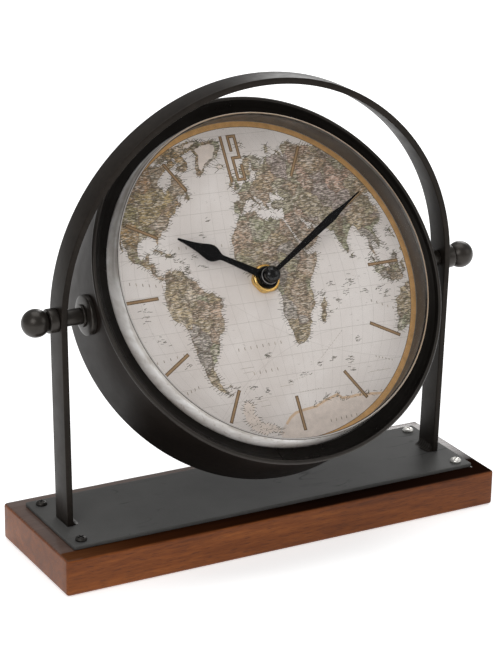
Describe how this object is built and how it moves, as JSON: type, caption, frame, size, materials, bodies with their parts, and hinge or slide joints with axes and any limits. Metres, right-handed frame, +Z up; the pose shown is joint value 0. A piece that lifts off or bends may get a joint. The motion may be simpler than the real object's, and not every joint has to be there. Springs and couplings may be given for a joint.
{
  "type": "table clock",
  "caption": "Round drum clock with a domed clear lens and a map dial, held on a cross axis in a tall flat-bar arch that stands on a dark wooden plinth with a steel plate.",
  "frame": {"origin": "centre of the plinth's underside", "axes": "+Z up, +X along the plinth, -Y the front, where the dial looks"},
  "size_m": [0.2752, 0.1501, 0.2539],
  "materials": {
    "plinth_wood": "satin varnish",
    "plate_steel": "satin",
    "screw_dark": "satin",
    "screw_bright": "bright",
    "arch_black": "satin",
    "knob_black": "satin",
    "collar_black": "satin",
    "zinc_steel": "satin",
    "drum_black": "satin",
    "bezel_black": "satin",
    "lens_clear": "polished",
    "dial_metal": "matt",
    "dial_print": "matt print",
    "movement_plastic": "matt",
    "gasket_rubber": "matt",
    "nut_brass": "polished",
    "bridge_plastic": "matt",
    "battery_wrap": "gloss wrap",
    "board_green": "satin",
    "stator_iron": "satin",
    "coil_copper": "lacquered wire",
    "wheel_nylon": "matt",
    "wheel_brass": "turned",
    "hand_black": "satin paint"
  },
  "bodies": {
    "base": {"base_plinth": "plinth_wood", "base_plate": "plate_steel", "plate_screw_front_left": "screw_dark", "plate_screw_back_left": "screw_dark", "plate_screw_front_right": "screw_bright", "plate_screw_back_right": "screw_bright", "arch_leg_left": "arch_black", "arch_leg_right": "arch_black", "arch_crown_left": "arch_black", "arch_crown_right": "arch_black"},
    "drum": {"pivot_bolt_left": "zinc_steel", "pivot_bolt_right": "zinc_steel", "spacer_sleeve_left": "collar_black", "spacer_sleeve_right": "collar_black", "flange_washer_left": "collar_black", "flange_washer_right": "collar_black", "saddle_washer_left": "collar_black", "saddle_washer_right": "collar_black", "lock_nut_left": "zinc_steel", "lock_nut_right": "zinc_steel", "drum_case": "drum_black", "bezel_ring": "bezel_black", "lens": "lens_clear", "dial_plate": "dial_metal", "dial_paper": "dial_print", "movement_housing": "movement_plastic", "movement_cover": "movement_plastic", "mounting_washer": "gasket_rubber", "mounting_nut": "nut_brass", "train_bridge": "bridge_plastic", "battery_cell": "battery_wrap", "contact_positive": "zinc_steel", "contact_negative": "zinc_steel", "circuit_board": "board_green", "quartz_crystal": "zinc_steel", "stator": "stator_iron", "coil": "coil_copper"},
    "collar_left": {"outer_collar_left": "collar_black"},
    "knob_left": {"ball_knob_left": "knob_black"},
    "collar_right": {"outer_collar_right": "collar_black"},
    "knob_right": {"ball_knob_right": "knob_black"},
    "minute": {"minute_arbor": "wheel_brass", "minute_hand": "hand_black", "hand_cap": "hand_black"},
    "hour": {"hour_wheel": "wheel_nylon", "hour_hand": "hand_black"},
    "motion": {"motion_wheel": "wheel_nylon", "setting_knob": "wheel_nylon"},
    "rotor": {"rotor": "stator_iron"},
    "fifth": {"fifth_wheel": "wheel_nylon"},
    "second": {"second_wheel": "wheel_nylon"},
    "third": {"third_wheel": "wheel_nylon"},
    "centre": {"centre_wheel": "wheel_brass"}
  },
  "joints": [
    {"name": "drum_tilt", "type": "hinge", "parent": "base", "child": "drum", "pos_m": [0, 0, 0.1373], "axis": [1, 0, 0], "continuous": true},
    {"name": "collar_left_slide", "type": "slide", "parent": "drum", "child": "collar_left", "axis": [-1, 0, 0], "range_m": [0, 0.002]},
    {"name": "knob_left_turn", "type": "hinge", "parent": "collar_left", "child": "knob_left", "pos_m": [-0.13, 0, 0.1373], "axis": [-1, 0, 0], "range_deg": [0, 720]},
    {"name": "collar_right_slide", "type": "slide", "parent": "drum", "child": "collar_right", "axis": [1, 0, 0], "range_m": [0, 0.002]},
    {"name": "knob_right_turn", "type": "hinge", "parent": "collar_right", "child": "knob_right", "pos_m": [0.13, 0, 0.1373], "axis": [1, 0, 0], "range_deg": [0, 720]},
    {"name": "minute_turn", "type": "hinge", "parent": "drum", "child": "minute", "pos_m": [-0.0004, 0.00061, 0.13821], "axis": [0, 0.829, -0.5592], "continuous": true},
    {"name": "hour_turn", "type": "hinge", "parent": "drum", "child": "hour", "pos_m": [-0.0004, 0.00061, 0.13821], "axis": [0, 0.829, -0.5592], "continuous": true},
    {"name": "motion_turn", "type": "hinge", "parent": "drum", "child": "motion", "pos_m": [0.0092, 0.00061, 0.13821], "axis": [0, 0.829, -0.5592], "continuous": true},
    {"name": "rotor_turn", "type": "hinge", "parent": "drum", "child": "rotor", "pos_m": [0.00773, 0.00709, 0.14781], "axis": [0, 0.829, -0.5592], "continuous": true},
    {"name": "fifth_turn", "type": "hinge", "parent": "drum", "child": "fifth", "pos_m": [0.00423, 0.0037, 0.14278], "axis": [0, 0.829, -0.5592], "continuous": true},
    {"name": "second_turn", "type": "hinge", "parent": "drum", "child": "second", "pos_m": [-0.0004, 0.00061, 0.13821], "axis": [0, 0.829, -0.5592], "continuous": true},
    {"name": "third_turn", "type": "hinge", "parent": "drum", "child": "third", "pos_m": [-0.0049, 0.00497, 0.14467], "axis": [0, 0.829, -0.5592], "continuous": true},
    {"name": "centre_turn", "type": "hinge", "parent": "drum", "child": "centre", "pos_m": [-0.0004, 0.00061, 0.13821], "axis": [0, 0.829, -0.5592], "continuous": true}
  ],
  "couplings": [
    {"joint": "knob_left_turn", "follows": "collar_left_slide", "rad_per_m": 6283.2},
    {"joint": "knob_right_turn", "follows": "collar_right_slide", "rad_per_m": 6283.2},
    {"joint": "hour_turn", "follows": "minute_turn", "ratio": 0.083333},
    {"joint": "motion_turn", "follows": "minute_turn", "ratio": -0.33333},
    {"joint": "fifth_turn", "follows": "rotor_turn", "ratio": -0.16667},
    {"joint": "second_turn", "follows": "rotor_turn", "ratio": 0.033333},
    {"joint": "third_turn", "follows": "rotor_turn", "ratio": -0.0044444},
    {"joint": "centre_turn", "follows": "rotor_turn", "ratio": 0.00055556}
  ]
}
